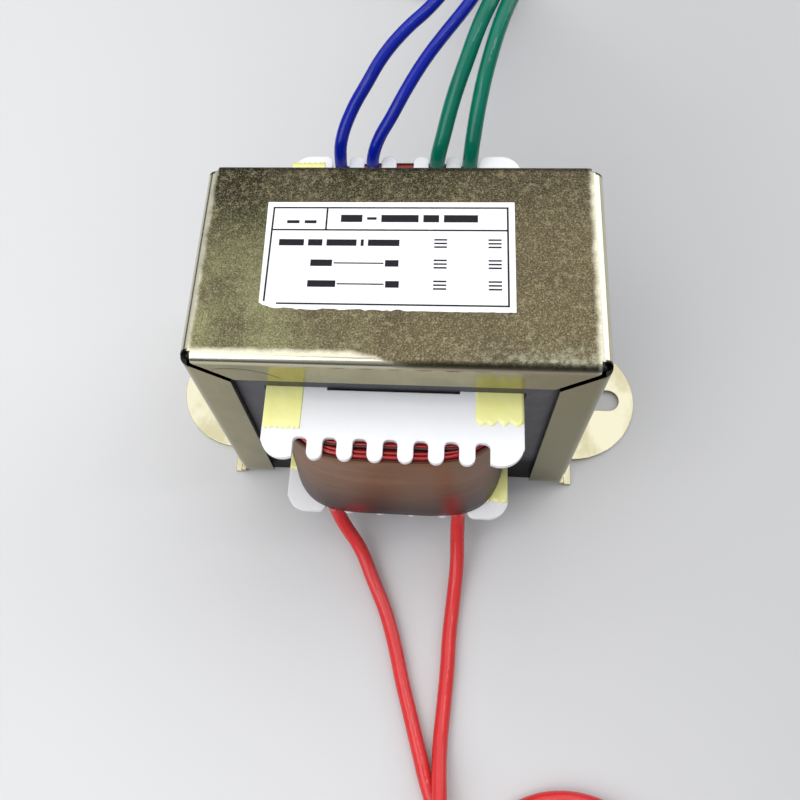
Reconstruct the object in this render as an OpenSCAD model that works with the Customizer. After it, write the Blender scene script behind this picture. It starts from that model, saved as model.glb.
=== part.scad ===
// Laminated chassis transformer: EI core in a folded steel channel frame with slotted feet, moulded bobbin
// with comb flanges, layered windings, film wrap, and six free leads.
// Millimetres. Z up, X along the frame, front face towards -Y. Underside of the feet at z = 0.

/* [Core] */
// Width of the lamination tongue
tongue_w = 22; // [18:1:26]
// Width of each outer leg, and height of the yoke and of the I sheet
leg_w = 11; // [9:0.5:13]
// Width of each window between tongue and leg
window_w = 11; // [10:0.5:13]
// Height of the windows
window_h = 33; // [29:0.5:37]
// Number of sheets in the stack
sheets = 72; // [60:2:84]
// Thickness of one sheet
sheet_t = 0.48; // [0.46:0.01:0.5]
// Oxide and varnish film between two sheets
sheet_film = 0.02; // [0.01:0.01:0.06]
// Cut across the outer corners of the sheets
corner_cut = 0.5; // [0.4:0.05:0.8]
// Height of the core's underside over the feet's underside
core_lift = 0.3; // [0.2:0.1:0.6]

/* [Frame] */
// Thickness of the frame's sheet metal
metal_t = 0.9; // [0.8:0.1:1.2]
// Clearance between the core and the frame's walls and top
core_fit = 0.15; // [0.1:0.01:0.25]
// Clearance between the core's faces and the flanges
flange_fit = 0.4; // [0.35:0.05:0.5]
// Outer radius where the top bends into the side walls
corner_r = 2.0; // [1.6:0.1:2.1]
// Outer radius where a flange bends off the top or a wall
bend_r = 1.7; // [1.3:0.1:1.7]
// Width of the front and back flanges from the outer face
flange_w = 7.2; // [6:0.2:8.6]
// Width of the open mitre at the flange corners
mitre_gap = 1.2; // [0.6:0.1:1.6]
// Height of the side flanges' lower ends over the feet's underside
flange_foot_gap = 2.3; // [2.1:0.1:3.2]
// Inner radius of the bend from wall to foot
foot_bend_r = 0.5; // [0.3:0.1:0.9]
// Straight width of the out-turned lip beside the bend
lip_w = 1.0; // [0.6:0.1:1.8]
// Radius of the round foot
ear_r = 13.7; // [11:0.1:16]
// Metal left between a slot's outer end and the foot's round edge
foot_rim = 3.0; // [2.4:0.1:4]
// Distance between the two slots' middles
slot_spacing = 84.0; // [82.6:0.2:85.4]
// Width of a slot
slot_w = 4.8; // [4.2:0.1:5.4]
// Length of a slot over its round ends
slot_len = 8.8; // [7.6:0.2:9.4]

/* [Bobbin] */
// Wall thickness of the bobbin's tube
tube_wall = 1.2; // [0.9:0.1:1.5]
// Thickness of each flange
bobbin_flange_t = 1.0; // [0.8:0.1:1.4]
// Clearance between tongue and tube along X
tube_fit_x = 0.15; // [0.1:0.05:0.3]
// Clearance between tongue and tube along Y
tube_fit_y = 0.35; // [0.2:0.05:0.5]
// Clearance between the bobbin's ends and the yokes
bobbin_fit_z = 0.25; // [0.2:0.05:0.45]
// Clearance between the bobbin's flanges and the outer legs
bobbin_fit_x = 0.35; // [0.2:0.05:0.6]
// How far the flanges stand out past the core's face
flange_overhang = 12.7; // [11:0.05:14]
// Radius of the flanges' outer corners
flange_corner_r = 3.9; // [3:0.1:4.5]
// Depth of the comb slots from the flange's edge
comb_depth = 3.8; // [3:0.1:4.4]
// Pitch of the fine comb, seven slots
fine_pitch = 5.0; // [4.8:0.05:5.1]
// Slot width of the fine comb
fine_slot = 2.4; // [2:0.1:2.8]
// Pitch of the coarse comb, five slots
coarse_pitch = 6.1; // [5.9:0.05:6.3]
// Slot width of the coarse comb
coarse_slot = 3.3; // [3.0:0.1:3.6]
// Radius at the corners of a slot's root
root_r = 0.9; // [0.3:0.1:1.1]

/* [Windings] */
// Free space between winding ends and flanges
winding_end_gap = 0.2; // [0.15:0.05:0.4]
// Build of the primary along X
primary_build = 4.05; // [3.6:0.05:4.4]
// Thickness of the film between two windings
insulation_t = 0.35; // [0.2:0.05:0.45]
// Build of the main secondary along X
main_build = 3.1; // [2.8:0.05:3.3]
// Thickness of the outer wrap
wrap_t = 0.3; // [0.2:0.05:0.4]
// Clearance between the wrap and the outer legs
wrap_fit = 0.5; // [0.4:0.05:0.9]
// Air between the outer winding and the wrap
wrap_air = 0.05; // [0.02:0.01:0.1]
// How far the windings bulge past the core's face at the middle
bulge = 11.95; // [10.5:0.05:12.3]
// How far the wrap's lower edge stands out past its upper edge
wrap_flare = 0.5; // [0.1:0.1:0.9]

/* [Tapes and label] */
// Thickness of the polyester tape
tape_t = 0.12; // [0.08:0.01:0.16]
// Depth of the teeth torn into a tape's end
tape_tooth = 0.5; // [0.3:0.1:0.8]
// Distance from a tape to the edge of the flange it lies on
tape_edge = 0.05; // [0.02:0.01:0.2]
// Width of the upper left tape
left_tape_w = 6.4; // [4:0.1:7]
// Width of the upper right tape
right_tape_w = 7.8; // [4:0.1:9]
// Width of the two lower tapes
lower_tape_w = 5; // [4:0.1:6]
// How far the upper left tape stands out past the core at the front
top_left_front = 7.7; // [3:0.1:8.5]
// How far the upper left tape stands out past the core at the back
top_left_back = 11.3; // [3:0.1:12]
// How far the upper right tape stands out past the core at the front
top_right_front = 6; // [3:0.1:8]
// How far the upper right tape stands out past the core at the back
top_right_back = 8.5; // [3:0.1:12]
// How far the lower left tape stands out past the core at the front
lower_left_front = 4.6; // [3:0.1:8]
// How far the lower right tape stands out past the core at the front
lower_right_front = 9.6; // [3:0.1:11]
// How far the lower tapes stand out past the core at the back
lower_back = 6; // [3:0.1:9]
// Width of the label
label_w = 41.5; // [34:0.5:46]
// Depth of the label
label_d = 20.9; // [16:0.1:26]
// Thickness of the label
label_t = 0.1; // [0.06:0.01:0.16]

/* [Leads] */
// Outside diameter of the red primary leads
red_d = 2.8; // [2.5:0.1:2.8]
// Outside diameter of the blue secondary leads
blue_d = 2.4; // [2.1:0.1:2.4]
// Outside diameter of the green secondary leads
green_d = 2.9; // [2.5:0.1:2.9]
// Diameter of the tinned conductor
conductor_d = 1.3; // [1:0.1:1.5]
// Length of the stripped end
strip_len = 6; // [5:0.5:7]
// Thickness of the ties round the coils
tie_t = 0.4; // [0.3:0.05:0.4]
// Width of the ties
tie_w = 2.5; // [2:0.1:3.5]

/* [Hidden] */
e = 0.01;
sheet_pitch = sheet_t + sheet_film;
stack = (sheets - 1) * sheet_pitch + sheet_t;
core_w = tongue_w + 2 * window_w + 2 * leg_w;
e_h = leg_w + window_h;
core_h = e_h + leg_w;
core_y = stack / 2;
frame_w = core_w + 2 * (core_fit + metal_t);
frame_d = stack + 2 * (flange_fit + metal_t);
frame_h = core_lift + core_h + core_fit + metal_t;
wall_x = frame_w / 2;
face_y = frame_d / 2;
foot_c = foot_bend_r + metal_t;
ear_x = slot_spacing / 2 + slot_len / 2 + foot_rim - ear_r;

bobbin_z0 = core_lift + leg_w + bobbin_fit_z;
bobbin_z1 = core_lift + e_h - bobbin_fit_z;
bobbin_x = tongue_w / 2 + window_w - bobbin_fit_x;
bobbin_y = core_y + flange_overhang;
hole_x = tongue_w / 2 + tube_fit_x;
hole_y = core_y + tube_fit_y;
tube_x = hole_x + tube_wall;
tube_y = hole_y + tube_wall;

wind_z0 = bobbin_z0 + bobbin_flange_t + winding_end_gap;
wind_z1 = bobbin_z1 - bobbin_flange_t - winding_end_gap;
wrap_x = tongue_w / 2 + window_w - wrap_fit;
low_x = wrap_x - wrap_t - wrap_air;
low_y = core_y + bulge;
prim_x = tube_x + primary_build;
prim_y = tube_y + (low_y - tube_y) * 0.42;
ins1_x = prim_x + insulation_t;
ins1_y = prim_y + insulation_t;
main_x = ins1_x + main_build;
main_y = ins1_y + (low_y - ins1_y) * 0.62;
ins2_x = main_x + insulation_t * 0.7;
ins2_y = main_y + insulation_t * 0.7;
wrap_y = low_y + wrap_t + wrap_air;

// Leads. Each route is the free stretch, from where the lead passes the flange to where its coil begins.
back_y = core_y + flange_overhang - comb_depth / 2;
back_dy = back_y - 28.79;
back_dz = bobbin_z1 - 44.05;
front_dy = -back_dy;
front_dz = bobbin_z0 - 11.55;
red_c = [33, -96.7 + front_dy];
sec_c = [5, 141.5 + back_dy];
coil_lift = tie_t;

blue_outer_route = [[-12.2, 28.8, 43.1], [-12.2, 28.8, 45.2], [-11.9, 30.6, 48.6], [-10, 34.3, 52.3],
  [-7.1, 37.8, 55.8], [-4.1, 42.1, 58.3], [-0.4, 46.2, 60.1], [3.7, 50.1, 61.3], [7, 54.7, 61.9],
  [9.3, 60, 61.4], [11.1, 65.1, 59.3], [12.4, 69.9, 56.3], [13.3, 74.4, 52.8], [14.1, 78.8, 49.1],
  [14.7, 83, 45.2], [15.2, 87.2, 41.3], [15.7, 91.4, 37.3], [16, 95.6, 33.3], [16.3, 99.8, 29.3],
  [16.6, 103.9, 25.2], [16.8, 108, 21.2], [16.9, 112.2, 17.2], [17, 116.4, 13.2], [17, 120.6, 9.2],
  [17, 125, 5.6], [16.9, 130, 2.9], [16.9, 135.7, 1.8], [16.9, 141.5, 1.6]];
blue_inner_route = [[-6.1, 28.8, 43.1], [-6.1, 28.8, 45.2], [-5.1, 30.5, 48.5], [-2.4, 33.7, 52],
  [0.3, 37.8, 54.7], [3.3, 42.1, 57], [6.6, 46.3, 58.8], [9.9, 50.8, 59.9], [12.7, 55.8, 60.3],
  [14.5, 61, 59.5], [15.6, 66.1, 57.3], [16.4, 70.9, 54.3], [17, 75.3, 50.8], [17.5, 79.6, 47],
  [17.9, 83.7, 43.1], [18.2, 87.8, 39.2], [18.5, 91.8, 35.2], [18.7, 95.9, 31.3], [18.9, 99.9, 27.3],
  [19.1, 104, 23.3], [19.2, 108, 19.2], [19.3, 111.9, 15.2], [19.4, 116, 11.2], [19.4, 120.3, 7.6],
  [19.4, 124.9, 4.4], [19.4, 130.1, 2.4], [19.4, 135.8, 1.7], [19.4, 141.5, 1.6]];
green_inner_route = [[6.1, 28.8, 43.1], [6.1, 28.8, 45.2], [7.1, 31.3, 49.4], [8.7, 36.1, 53.8],
  [10.8, 41.6, 57.2], [13, 47.6, 59.8], [15.5, 53.8, 61], [17.6, 60.3, 60.8], [19.1, 66.6, 58.4],
  [20.1, 72.3, 54.8], [20.8, 77.6, 50.5], [21.3, 82.8, 45.9], [21.7, 87.8, 41.2], [21.9, 92.7, 36.5],
  [22.1, 97.7, 31.7], [22.2, 102.7, 27], [22.2, 107.7, 22.2], [22.2, 112.7, 17.6], [22.2, 117.8, 12.9],
  [22.2, 122.8, 8.4], [22.2, 128.2, 4.6], [22.2, 134.7, 2], [22.2, 141.5, 1.85]];
green_outer_route = [[12.2, 28.8, 43.1], [12.2, 28.8, 45.2], [12.6, 31.3, 49.4], [13.5, 36.2, 53.8],
  [14.9, 42.1, 57], [16.7, 48.3, 59.2], [19, 54.7, 60.1], [21.6, 60.8, 59.3], [23.1, 66.9, 56.5],
  [24, 72.4, 52.6], [24.6, 77.5, 48.1], [24.9, 82.5, 43.6], [25.1, 87.5, 38.9], [25.2, 92.4, 34.1],
  [25.2, 97.3, 29.3], [25.2, 102.1, 24.5], [25.2, 106.9, 19.7], [25.2, 111.7, 14.9], [25.2, 116.7, 10.4],
  [25.2, 122.1, 6.3], [25.1, 128.1, 3.2], [25.1, 134.7, 2], [25.1, 141.5, 1.85]];
red_left_route = [[-12.2, -28.9, 12.5], [-12.1, -29.1, 10.4], [-10.6, -31.4, 7.2], [-7.1, -35.8, 3.7],
  [-4.3, -41.6, 2.1], [-1.5, -47.6, 1.5], [0.6, -53.9, 1.4], [2.3, -60.3, 1.4], [4.2, -66.7, 1.4],
  [6.1, -73.1, 1.4], [8.1, -79.4, 1.4], [10.8, -85.4, 1.4], [14.5, -90.7, 1.5], [17.3, -95.2, 1.7],
  [18.1, -99.3, 1.8]];
red_right_route = [[12.2, -28.9, 12.5], [12.2, -29.2, 10.4], [12.2, -32.3, 7], [12.3, -38, 3.4],
  [11.8, -44.5, 1.7], [11.2, -51.3, 1.4], [10.9, -58, 1.4], [10.4, -64.8, 1.4], [9.9, -71.5, 1.9],
  [9.9, -78.1, 3.5], [10.4, -84.7, 4.5], [11.7, -89.6, 4.6], [13.4, -93.6, 3.2], [14.8, -96.9, 2],
  [15.4, -99.8, 1.8]];

// ---------- general shapes ----------

// extrudes a 2-D shape drawn in X and Z along Y, from y0 to y1
module along_y(y0, y1) translate([0, y1, 0]) rotate([90, 0, 0]) linear_extrude(y1 - y0) children();

// extrudes a 2-D shape drawn in Y and Z along X, from x0 to x1
module along_x(x0, x1)
  translate([x0, 0, 0]) rotate([90, 0, 90]) linear_extrude(x1 - x0) children();

module both_x() { children(); mirror([1, 0, 0]) children(); }
module both_y() { children(); mirror([0, 1, 0]) children(); }

// quarter ring with its corner at the origin, in the quadrant given by the signs
module quarter_ring(outer, inner, sx, sy)
  intersection() {
    difference() { circle(r = outer, $fn = 96); circle(r = inner, $fn = 96); }
    translate([sx < 0 ? -outer : 0, sy < 0 ? -outer : 0]) square(outer);
  }

function sgn(v) = v < 0 ? -1 : 1;
// closed rounded outline, half widths a and b, squarer as n grows
function oval(a, b, n, k) = [for (i = [0 : k - 1]) let (t = 360 * i / k, c = cos(t), s = sin(t))
  [a * sgn(c) * pow(abs(c), 2 / n), b * sgn(s) * pow(abs(s), 2 / n)]];

// ---------- frame ----------

module wall_profile() {
  translate([-(wall_x - corner_r), frame_h - metal_t]) square([2 * (wall_x - corner_r), metal_t]);
  both_x() {
    translate([wall_x - corner_r, frame_h - corner_r])
      quarter_ring(corner_r, corner_r - metal_t, 1, 1);
    translate([wall_x - metal_t, foot_c]) square([metal_t, frame_h - corner_r - foot_c]);
  }
}

module foot_profile() {
  translate([wall_x - metal_t, foot_c]) square([metal_t, flange_foot_gap - foot_c - 0.4]);
  translate([wall_x + foot_bend_r, foot_c]) quarter_ring(foot_c, foot_bend_r, -1, -1);
  translate([wall_x + foot_bend_r, 0]) square([lip_w, metal_t]);
}

// where the 45 degree mitre's middle meets height z, as a distance from the middle plane
function mitre_x(z) = wall_x - frame_h + z;

module top_flange()
  intersection() {
    along_x(-wall_x, wall_x) {
      translate([-(face_y - bend_r), frame_h - bend_r])
        quarter_ring(bend_r, bend_r - metal_t, -1, 1);
      translate([-face_y, frame_h - flange_w]) square([metal_t, flange_w - bend_r]);
    }
    along_y(-face_y - 1, 0) both_x()
      polygon([[0, frame_h - flange_w - 1],
        [mitre_x(frame_h - flange_w - 1) - mitre_gap / sqrt(2), frame_h - flange_w - 1],
        [wall_x - corner_r, frame_h - corner_r + mitre_gap / sqrt(2)],
        [wall_x - corner_r, frame_h + 1], [0, frame_h + 1]]);
  }

module side_flange()
  intersection() {
    translate([0, 0, flange_foot_gap]) linear_extrude(frame_h - corner_r - flange_foot_gap) {
      translate([wall_x - bend_r, -(face_y - bend_r)]) quarter_ring(bend_r, bend_r - metal_t, 1, -1);
      translate([wall_x - flange_w, -face_y]) square([flange_w - bend_r, metal_t]);
    }
    along_y(-face_y - 1, 0)
      polygon([[wall_x - flange_w - 1, 0], [wall_x + 1, 0], [wall_x + 1, frame_h],
        [mitre_x(frame_h) + mitre_gap / sqrt(2), frame_h],
        [wall_x - flange_w - 1, frame_h - flange_w - 1 - mitre_gap / sqrt(2)]]);
  }

module slot2d() {
  r = slot_w / 2;
  for (s = [-1, 1]) translate([s * (slot_len / 2 - r), 0]) circle(r = r, $fn = 64);
  square([slot_len - slot_w, slot_w], center = true);
}

module ear()
  linear_extrude(metal_t) difference() {
    union() {
      intersection() {
        translate([ear_x, 0]) circle(r = ear_r, $fn = 128);
        translate([wall_x + foot_bend_r, -ear_r]) square([ear_x + ear_r - wall_x, 2 * ear_r]);
      }
      translate([wall_x + foot_bend_r, -ear_r])
        square([max(e, ear_x - wall_x - foot_bend_r), 2 * ear_r]);
    }
    translate([slot_spacing / 2, 0]) slot2d();
  }

module frame() color("#9d9878") union() {
  along_y(-(face_y - bend_r), face_y - bend_r) wall_profile();
  both_x() {
    along_y(-face_y, face_y) foot_profile();
    ear();
  }
  both_y() {
    top_flange();
    both_x() side_flange();
  }
}

// ---------- core ----------

// E sheet with its yoke down, the yoke's outer corners cut
e_outline = [[-core_w / 2 + corner_cut, 0], [core_w / 2 - corner_cut, 0], [core_w / 2, corner_cut],
  [core_w / 2, e_h], [core_w / 2 - leg_w, e_h], [core_w / 2 - leg_w, leg_w], [tongue_w / 2, leg_w],
  [tongue_w / 2, e_h], [-tongue_w / 2, e_h], [-tongue_w / 2, leg_w], [-core_w / 2 + leg_w, leg_w],
  [-core_w / 2 + leg_w, e_h], [-core_w / 2, e_h],
  [-core_w / 2, corner_cut]];
butt_gap = 0.03;
i_h = leg_w - butt_gap;
// I sheet with its outer edge down
i_outline = [[-core_w / 2 + corner_cut, 0], [core_w / 2 - corner_cut, 0], [core_w / 2, corner_cut],
  [core_w / 2, i_h], [-core_w / 2, i_h], [-core_w / 2, corner_cut]];

module upside_down() translate([0, core_h]) mirror([0, 1]) children();

module sheet_at(i) translate([0, 0, core_lift])
  along_y(-core_y + i * sheet_pitch, -core_y + i * sheet_pitch + sheet_t) children();

// even sheets stand with the yoke up, odd ones with the yoke down, so the joints never line up
module e_laminations() color("#5b5c5e")
  for (i = [0 : sheets - 1]) sheet_at(i)
    if (i % 2 == 0) upside_down() polygon(e_outline);
    else polygon(e_outline);

module i_laminations() color("#626366")
  for (i = [0 : sheets - 1]) sheet_at(i)
    if (i % 2 == 0) polygon(i_outline);
    else upside_down() polygon(i_outline);

// ---------- bobbin ----------

module comb_slot(w, root_y)
  union() {
    translate([-w / 2 + root_r, root_y]) square([w - 2 * root_r, comb_depth + 2]);
    translate([-w / 2, root_y + root_r]) square([w, comb_depth + 2]);
    for (s = [-1, 1]) translate([s * (w / 2 - root_r), root_y + root_r]) circle(r = root_r, $fn = 32);
  }

// one half of a flange towards +Y, with n comb slots
module flange_half(n, pitch, w) {
  tip_r = (pitch - w) / 2;
  lobe_x = (n - 1) / 2 * pitch + w / 2;
  root_y = bobbin_y - comb_depth;
  lobe_r = min(flange_corner_r, (bobbin_x - lobe_x) * 0.7);
  difference() {
    union() {
      translate([-bobbin_x, -e]) square([2 * bobbin_x, root_y + root_r + e]);
      for (i = [0 : n - 2]) translate([(i - (n - 2) / 2) * pitch, 0]) {
        translate([-tip_r, root_y]) square([2 * tip_r, comb_depth - tip_r]);
        translate([0, bobbin_y - tip_r]) circle(r = tip_r, $fn = 48);
      }
      both_x() {
        translate([lobe_x, root_y]) square([bobbin_x - lobe_x, comb_depth - lobe_r]);
        translate([lobe_x + tip_r, root_y])
          square([bobbin_x - lobe_x - tip_r - lobe_r, comb_depth]);
        translate([lobe_x, root_y]) square([tip_r * 2, comb_depth - tip_r]);
        translate([lobe_x + tip_r, bobbin_y - tip_r]) circle(r = tip_r, $fn = 48);
        translate([bobbin_x - lobe_r, bobbin_y - lobe_r]) circle(r = lobe_r, $fn = 64);
      }
    }
    for (i = [0 : n - 1]) translate([(i - (n - 1) / 2) * pitch, 0]) comb_slot(w, root_y);
  }
}

module bobbin_flange(fine_back)
  linear_extrude(bobbin_flange_t) difference() {
    union() {
      mirror([0, fine_back ? 0 : 1]) flange_half(7, fine_pitch, fine_slot);
      mirror([0, fine_back ? 1 : 0]) flange_half(5, coarse_pitch, coarse_slot);
    }
    square([2 * hole_x, 2 * hole_y], center = true);
  }

module bobbin() color("#eef0f4") union() {
  translate([0, 0, bobbin_z0]) {
    bobbin_flange(true);
    linear_extrude(bobbin_z1 - bobbin_z0) difference() {
      square([2 * tube_x, 2 * tube_y], center = true);
      square([2 * hole_x, 2 * hole_y], center = true);
    }
  }
  translate([0, 0, bobbin_z1 - bobbin_flange_t]) bobbin_flange(false);
}

// ---------- windings ----------

module layer(z0, z1) translate([0, 0, z0]) linear_extrude(z1 - z0) difference() {
  children(0);
  children(1);
}

module tube2d() square([2 * tube_x, 2 * tube_y], center = true);
module prim2d() polygon(oval(prim_x, prim_y, 7, 56));
module ins1_2d() polygon(oval(ins1_x, ins1_y, 6.6, 56));
module main2d() polygon(oval(main_x, main_y, 4.6, 56));
module ins2_2d() polygon(oval(ins2_x, ins2_y, 4.5, 56));
module low2d() polygon(oval(low_x, low_y, 3.6, 72));

module primary_winding() color("#8a3a1c") layer(wind_z0, wind_z1) { prim2d(); tube2d(); }
module primary_insulation() color("#e6d98a")
  layer(wind_z0, wind_z1 + 0.1) { ins1_2d(); prim2d(); }
module secondary_winding_main() color("#9b2a1e") layer(wind_z0, wind_z1) { main2d(); ins1_2d(); }
module secondary_insulation() color("#e6d98a")
  layer(wind_z0, wind_z1 + 0.1) { ins2_2d(); main2d(); }
module secondary_winding_low() color("#a5181c") layer(wind_z0, wind_z1) { low2d(); ins2_2d(); }

// film wrapped round the coil: its outline is rounder at the top and flares out over the lower flange
wrap_k = 72;
wrap_levels = [0, 0.22, 0.5, 0.78, 1];
function wrap_ring(u, inset) = let (z = wind_z0 - 0.02 + u * (wind_z1 - 0.2 - wind_z0), f = pow(1 - u, 1.6))
  [for (p = oval(wrap_x - inset, wrap_y + wrap_flare * f - inset, 3.6 + 0.8 * f, wrap_k))
    [p[0], p[1], z]];
wrap_pts = concat([for (u = wrap_levels) each wrap_ring(u, 0)],
                  [for (u = wrap_levels) each wrap_ring(u, wrap_t)]);
wrap_n = len(wrap_levels);
wrap_in = wrap_n * wrap_k;
function nxt(i) = (i + 1) % wrap_k;
wrap_faces = concat(
  [for (l = [0 : wrap_n - 2]) for (i = [0 : wrap_k - 1]) let (a = l * wrap_k, b = a + wrap_k)
    each [[a + nxt(i), a + i, b + i], [a + nxt(i), b + i, b + nxt(i)]]],
  [for (l = [0 : wrap_n - 2]) for (i = [0 : wrap_k - 1]) let (a = wrap_in + l * wrap_k, b = a + wrap_k)
    each [[a + i, a + nxt(i), b + i], [b + i, a + nxt(i), b + nxt(i)]]],
  [for (i = [0 : wrap_k - 1]) each [[i, nxt(i), wrap_in + i], [wrap_in + i, nxt(i), wrap_in + nxt(i)]]],
  [for (i = [0 : wrap_k - 1]) let (a = (wrap_n - 1) * wrap_k, b = wrap_in + a)
    each [[a + nxt(i), a + i, b + i], [a + nxt(i), b + i, b + nxt(i)]]]);
module outer_wrap() color("#7a6248") polyhedron(wrap_pts, wrap_faces, convexity = 4);

// ---------- tapes and label ----------

// strip from y0 to y1 with both ends torn in teeth
module torn_strip(x0, x1, y0, y1, z) {
  n = max(3, round((x1 - x0) / 1.1));
  w = (x1 - x0) / n;
  translate([0, 0, z]) linear_extrude(tape_t) polygon(concat(
    [for (i = [0 : 2 * n]) [x0 + i * w / 2, y0 + (i % 2 == 0 ? 0 : tape_tooth)]],
    [for (i = [0 : 2 * n]) [x1 - i * w / 2, y1 - (i % 2 == 0 ? 0 : tape_tooth)]]));
}

// a tape lies along a flange's edge, on the side given, and stands out past the core by front and back
module edge_tape(side, w, front, back, z)
  mirror([side < 0 ? 1 : 0, 0, 0])
    torn_strip(bobbin_x - tape_edge - w, bobbin_x - tape_edge, -core_y - front, core_y + back, z);

module tape_top_left() color("#e9e68c")
  edge_tape(-1, left_tape_w, top_left_front, top_left_back, bobbin_z1);
module tape_top_right() color("#e9e68c")
  edge_tape(1, right_tape_w, top_right_front, top_right_back, bobbin_z1);
module tape_bottom_left() color("#e9e68c")
  edge_tape(-1, lower_tape_w, lower_left_front, lower_back, bobbin_z0 + bobbin_flange_t);
module tape_bottom_right() color("#e9e68c")
  edge_tape(1, lower_tape_w, lower_right_front, lower_back, bobbin_z0 + bobbin_flange_t);

// paper label, its lower left corner torn away
module label() color("#f4f4f2")
  translate([-1.5, 0.7, frame_h]) rotate([0, 0, 0.4]) linear_extrude(label_t)
    polygon([[-label_w / 2 + 1.6, -label_d / 2 + 0.5], [-label_w / 2 + 3.1, -label_d / 2],
      [label_w / 2 - 0.5, -label_d / 2], [label_w / 2, -label_d / 2 + 0.5],
      [label_w / 2, label_d / 2 - 0.5], [label_w / 2 - 0.5, label_d / 2],
      [-label_w / 2 + 0.5, label_d / 2], [-label_w / 2, label_d / 2 - 0.5],
      [-label_w / 2, -label_d / 2 + 3.4], [-label_w / 2 + 0.5, -label_d / 2 + 1.5]]);

// ---------- leads ----------

sides = 8;
function unit(v) = v / norm(v);
function fit_route(r, dy, dz) = [for (i = [0 : len(r) - 1]) r[i] + [0, dy, dz * (1 - i / (len(r) - 1))]];
function heading(r, i) = unit(r[min(i + 1, len(r) - 1)] - r[max(i - 1, 0)]);
function ring(r, i, rad) = let (t = heading(r, i), n = unit(cross(t, [1, 0, 0])), b = cross(t, n))
  [for (k = [0 : sides - 1]) let (a = 360 * (k + 0.5) / sides) r[i] + rad * (cos(a) * n + sin(a) * b)];
function tube_points(r, rad) = [for (i = [0 : len(r) - 1]) each ring(r, i, rad)];
function tube_faces(m) = concat([[for (k = [0 : sides - 1]) k]],
  [[for (k = [0 : sides - 1]) (m - 1) * sides + sides - 1 - k]],
  [for (i = [0 : m - 2]) for (k = [0 : sides - 1])
    let (a = i * sides + k, b = i * sides + (k + 1) % sides)
    each [[a, a + sides, b], [b, a + sides, b + sides]]]);
module tube(r, d) polyhedron(tube_points(r, d / 2), tube_faces(len(r)), convexity = 6);

// stretch of a lead lying past its coil's end, from angle a0 to a1 round the coil's middle
module lane_tail(c, r, z, d, a0, a1)
  translate([c[0], c[1], z]) rotate([0, 0, a0]) rotate_extrude(angle = a1 - a0, $fn = 96)
    translate([r, 0]) circle(d = d, $fn = 24);

// stripped conductor that carries on straight from a lane's end at angle a
module strip_end(c, r, z, a)
  translate([c[0], c[1], z]) rotate([0, 0, a]) translate([r, 0, 0]) rotate([-90, 0, 0])
    cylinder(d = conductor_d, h = strip_len, $fn = 32);

red_z = 1.4 + coil_lift;
blue_z = 1.2 + coil_lift;
green_z = 1.45 + coil_lift;
red_r = [15.1, 17.9];
blue_r = [11.9, 14.4];
green_r = [17.2, 20.1];
// angles round the coil's middle, anticlockwise from +X: where single leads end, and a coil's two ends
red_end = 490;
blue_end = [287, 282];
green_end = 280;
red_from = 190;
red_to = 486;
sec_from = 0;
sec_to = 242;

module red_lead_left() color("#c9242b") {
  tube(fit_route(red_left_route, front_dy, front_dz), red_d);
  lane_tail(red_c, red_r[0], red_z, red_d, red_to, red_end);
}
module red_lead_right() color("#c9242b") tube(fit_route(red_right_route, front_dy, front_dz), red_d);
module blue_lead_outer() color("#17228f") {
  tube(fit_route(blue_outer_route, back_dy, back_dz), blue_d);
  lane_tail(sec_c, blue_r[0], blue_z, blue_d, sec_to, blue_end[0]);
}
module blue_lead_inner() color("#17228f") {
  tube(fit_route(blue_inner_route, back_dy, back_dz), blue_d);
  lane_tail(sec_c, blue_r[1], blue_z, blue_d, sec_to, blue_end[1]);
}
module green_lead_inner() color("#0f6b4c") {
  tube(fit_route(green_inner_route, back_dy, back_dz), green_d);
  lane_tail(sec_c, green_r[0], green_z, green_d, sec_to, green_end);
}
module green_lead_outer() color("#0f6b4c") tube(fit_route(green_outer_route, back_dy, back_dz), green_d);

module red_lead_coil() color("#b91f26")
  translate([red_c[0], red_c[1], coil_lift]) rotate([0, 0, red_from])
    rotate_extrude(angle = red_to - red_from, $fn = 96)
      translate([red_r[0] - red_d / 2, 0]) square([red_r[1] - red_r[0] + red_d, red_d]);
module secondary_lead_coil() color("#145a63")
  translate([sec_c[0], sec_c[1], coil_lift]) rotate([0, 0, sec_from])
    rotate_extrude(angle = sec_to - sec_from, $fn = 96) union() {
      translate([blue_r[0] - blue_d / 2, 0]) square([blue_r[1] - blue_r[0] + blue_d, blue_d]);
      translate([blue_r[1] + blue_d / 2 - e, 0])
        square([green_r[1] + green_d / 2 - blue_r[1] - blue_d / 2, green_d]);
    }

// flat tie round the strands of a coil, at angle a
module tie(c, a, r0, r1, h)
  translate([c[0], c[1], 0]) rotate([0, 0, a]) translate([0, tie_w / 2, 0]) rotate([90, 0, 0])
    linear_extrude(tie_w) difference() {
      translate([r0 - tie_t - 0.1, 0]) square([r1 - r0 + 2 * tie_t + 0.2, h + 2 * tie_t + 0.1]);
      translate([r0 - 0.1, tie_t]) square([r1 - r0 + 0.2, h + 0.1]);
    }
module red_tie() color("#e8e8e4")
  tie(red_c, 330, red_r[0] - red_d / 2, red_r[1] + red_d / 2, red_d);
module secondary_tie() color("#e8e8e4")
  tie(sec_c, 90, blue_r[0] - blue_d / 2, green_r[1] + green_d / 2, green_d);

module red_tinned_ends() color("#c9c8c4") {
  strip_end(red_c, red_r[0], red_z, red_end);
  strip_end(red_c, red_r[1], red_z, red_to);
}
module blue_tinned_ends() color("#c9c8c4") {
  strip_end(sec_c, blue_r[0], blue_z, blue_end[0]);
  strip_end(sec_c, blue_r[1], blue_z, blue_end[1]);
}
module green_tinned_ends() color("#c9c8c4") {
  strip_end(sec_c, green_r[0], green_z, green_end);
  strip_end(sec_c, green_r[1], green_z, sec_to);
}

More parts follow.
